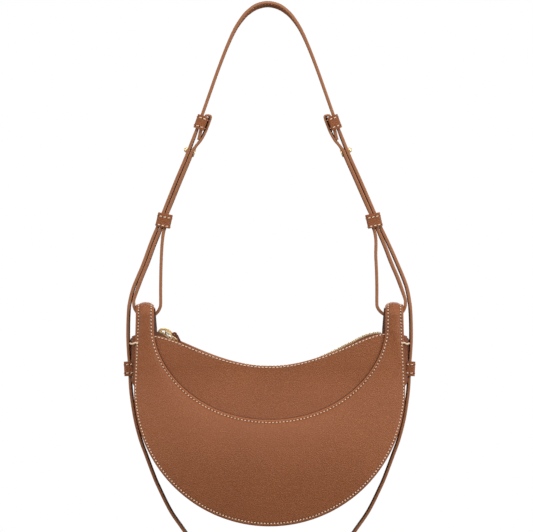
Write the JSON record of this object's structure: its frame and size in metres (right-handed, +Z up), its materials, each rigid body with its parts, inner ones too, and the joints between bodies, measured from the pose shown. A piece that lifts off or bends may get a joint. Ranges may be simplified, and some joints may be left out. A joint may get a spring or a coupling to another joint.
{
  "type": "half moon shoulder bag",
  "caption": "Soft half moon shoulder bag in tan leather with two upright horns, a dipped zipped mouth and a strap that loops through the horns and hangs on as tails.",
  "frame": {"origin": "the underside of the strap's crown, where the bag hangs", "axes": "+Z up, +Y to the back panel, +X to the right seen from the front"},
  "size_m": [0.2778, 0.0796, 0.54],
  "materials": {
    "leather": "fine grained tan leather with a soft sheen",
    "dark_leather": "the same leather, darker in its folds",
    "board": "stiff fibre board and filler, hidden",
    "lining": "woven cotton lining",
    "tape": "dark brown zip tape",
    "brass": "polished pale gold"
  },
  "bodies": {
    "strap": {"shoulder_strap": "leather", "connector_left": "leather", "connector_right": "leather", "stud_left": "brass", "stud_right": "brass", "stud_base_left": "brass", "stud_base_right": "brass"},
    "bag": {"front_crescent": "leather", "back_crescent": "leather", "front_yoke": "leather", "back_yoke": "leather", "gusset": "dark_leather", "horn_core_left": "board", "horn_core_right": "board", "horn_facing_left": "dark_leather", "horn_facing_right": "dark_leather", "front_board": "board", "back_board": "board", "lining": "lining", "slip_pocket": "lining", "zip_tape_front": "tape", "zip_tape_back": "tape", "zip_teeth_front": "brass", "zip_teeth_back": "brass", "zip_end_left": "dark_leather", "zip_end_right": "dark_leather", "tail_left": "leather", "tail_right": "leather", "side_runner_left": "dark_leather", "side_runner_right": "dark_leather"},
    "zip_slider": {"zip_slider": "brass"},
    "puller_link": {"puller_link": "brass"},
    "puller_tab": {"puller_tab": "dark_leather"},
    "upper_keeper_left": {"upper_keeper_left": "leather"},
    "upper_keeper_right": {"upper_keeper_right": "leather"},
    "lower_keeper_left": {"lower_keeper_left": "leather"},
    "lower_keeper_right": {"lower_keeper_right": "leather"},
    "side_keeper_left": {"side_keeper_left": "leather"},
    "side_keeper_right": {"side_keeper_right": "leather"}
  },
  "joints": [
    {"name": "bag_swing", "type": "hinge", "parent": "strap", "child": "bag", "pos_m": [0, 0, -0.3], "axis": [1, 0, 0], "range_deg": [-85, 85]},
    {"name": "zip_run", "type": "hinge", "parent": "bag", "child": "zip_slider", "pos_m": [0, 0, -0.16853], "axis": [0, -1, 0], "range_deg": [0, 62]},
    {"name": "link_lift", "type": "hinge", "parent": "zip_slider", "child": "puller_link", "pos_m": [-0.09461, 0, -0.31971], "axis": [0, -1, 0], "range_deg": [0, 85]},
    {"name": "pull_lift", "type": "hinge", "parent": "puller_link", "child": "puller_tab", "pos_m": [-0.08957, 0, -0.32296], "axis": [0, -1, 0], "range_deg": [0, 70]},
    {"name": "upper_keeper_left_slide", "type": "slide", "parent": "strap", "child": "upper_keeper_left", "axis": [0.3403, 0, 0.9403], "range_m": [-0.001, 0.001]},
    {"name": "upper_keeper_right_slide", "type": "slide", "parent": "strap", "child": "upper_keeper_right", "axis": [-0.3403, 0, 0.9403], "range_m": [-0.001, 0.001]},
    {"name": "lower_keeper_left_slide", "type": "slide", "parent": "strap", "child": "lower_keeper_left", "axis": [0.3946, 0, 0.9189], "range_m": [0, 0.005]},
    {"name": "lower_keeper_right_slide", "type": "slide", "parent": "strap", "child": "lower_keeper_right", "axis": [-0.3946, 0, 0.9189], "range_m": [0, 0.005]},
    {"name": "side_keeper_left_slide", "type": "slide", "parent": "bag", "child": "side_keeper_left", "axis": [-0.0478, 0, 0.9989], "range_m": [-0.003, 0.014]},
    {"name": "side_keeper_right_slide", "type": "slide", "parent": "bag", "child": "side_keeper_right", "axis": [0.0478, 0, 0.9989], "range_m": [-0.003, 0.014]}
  ]
}
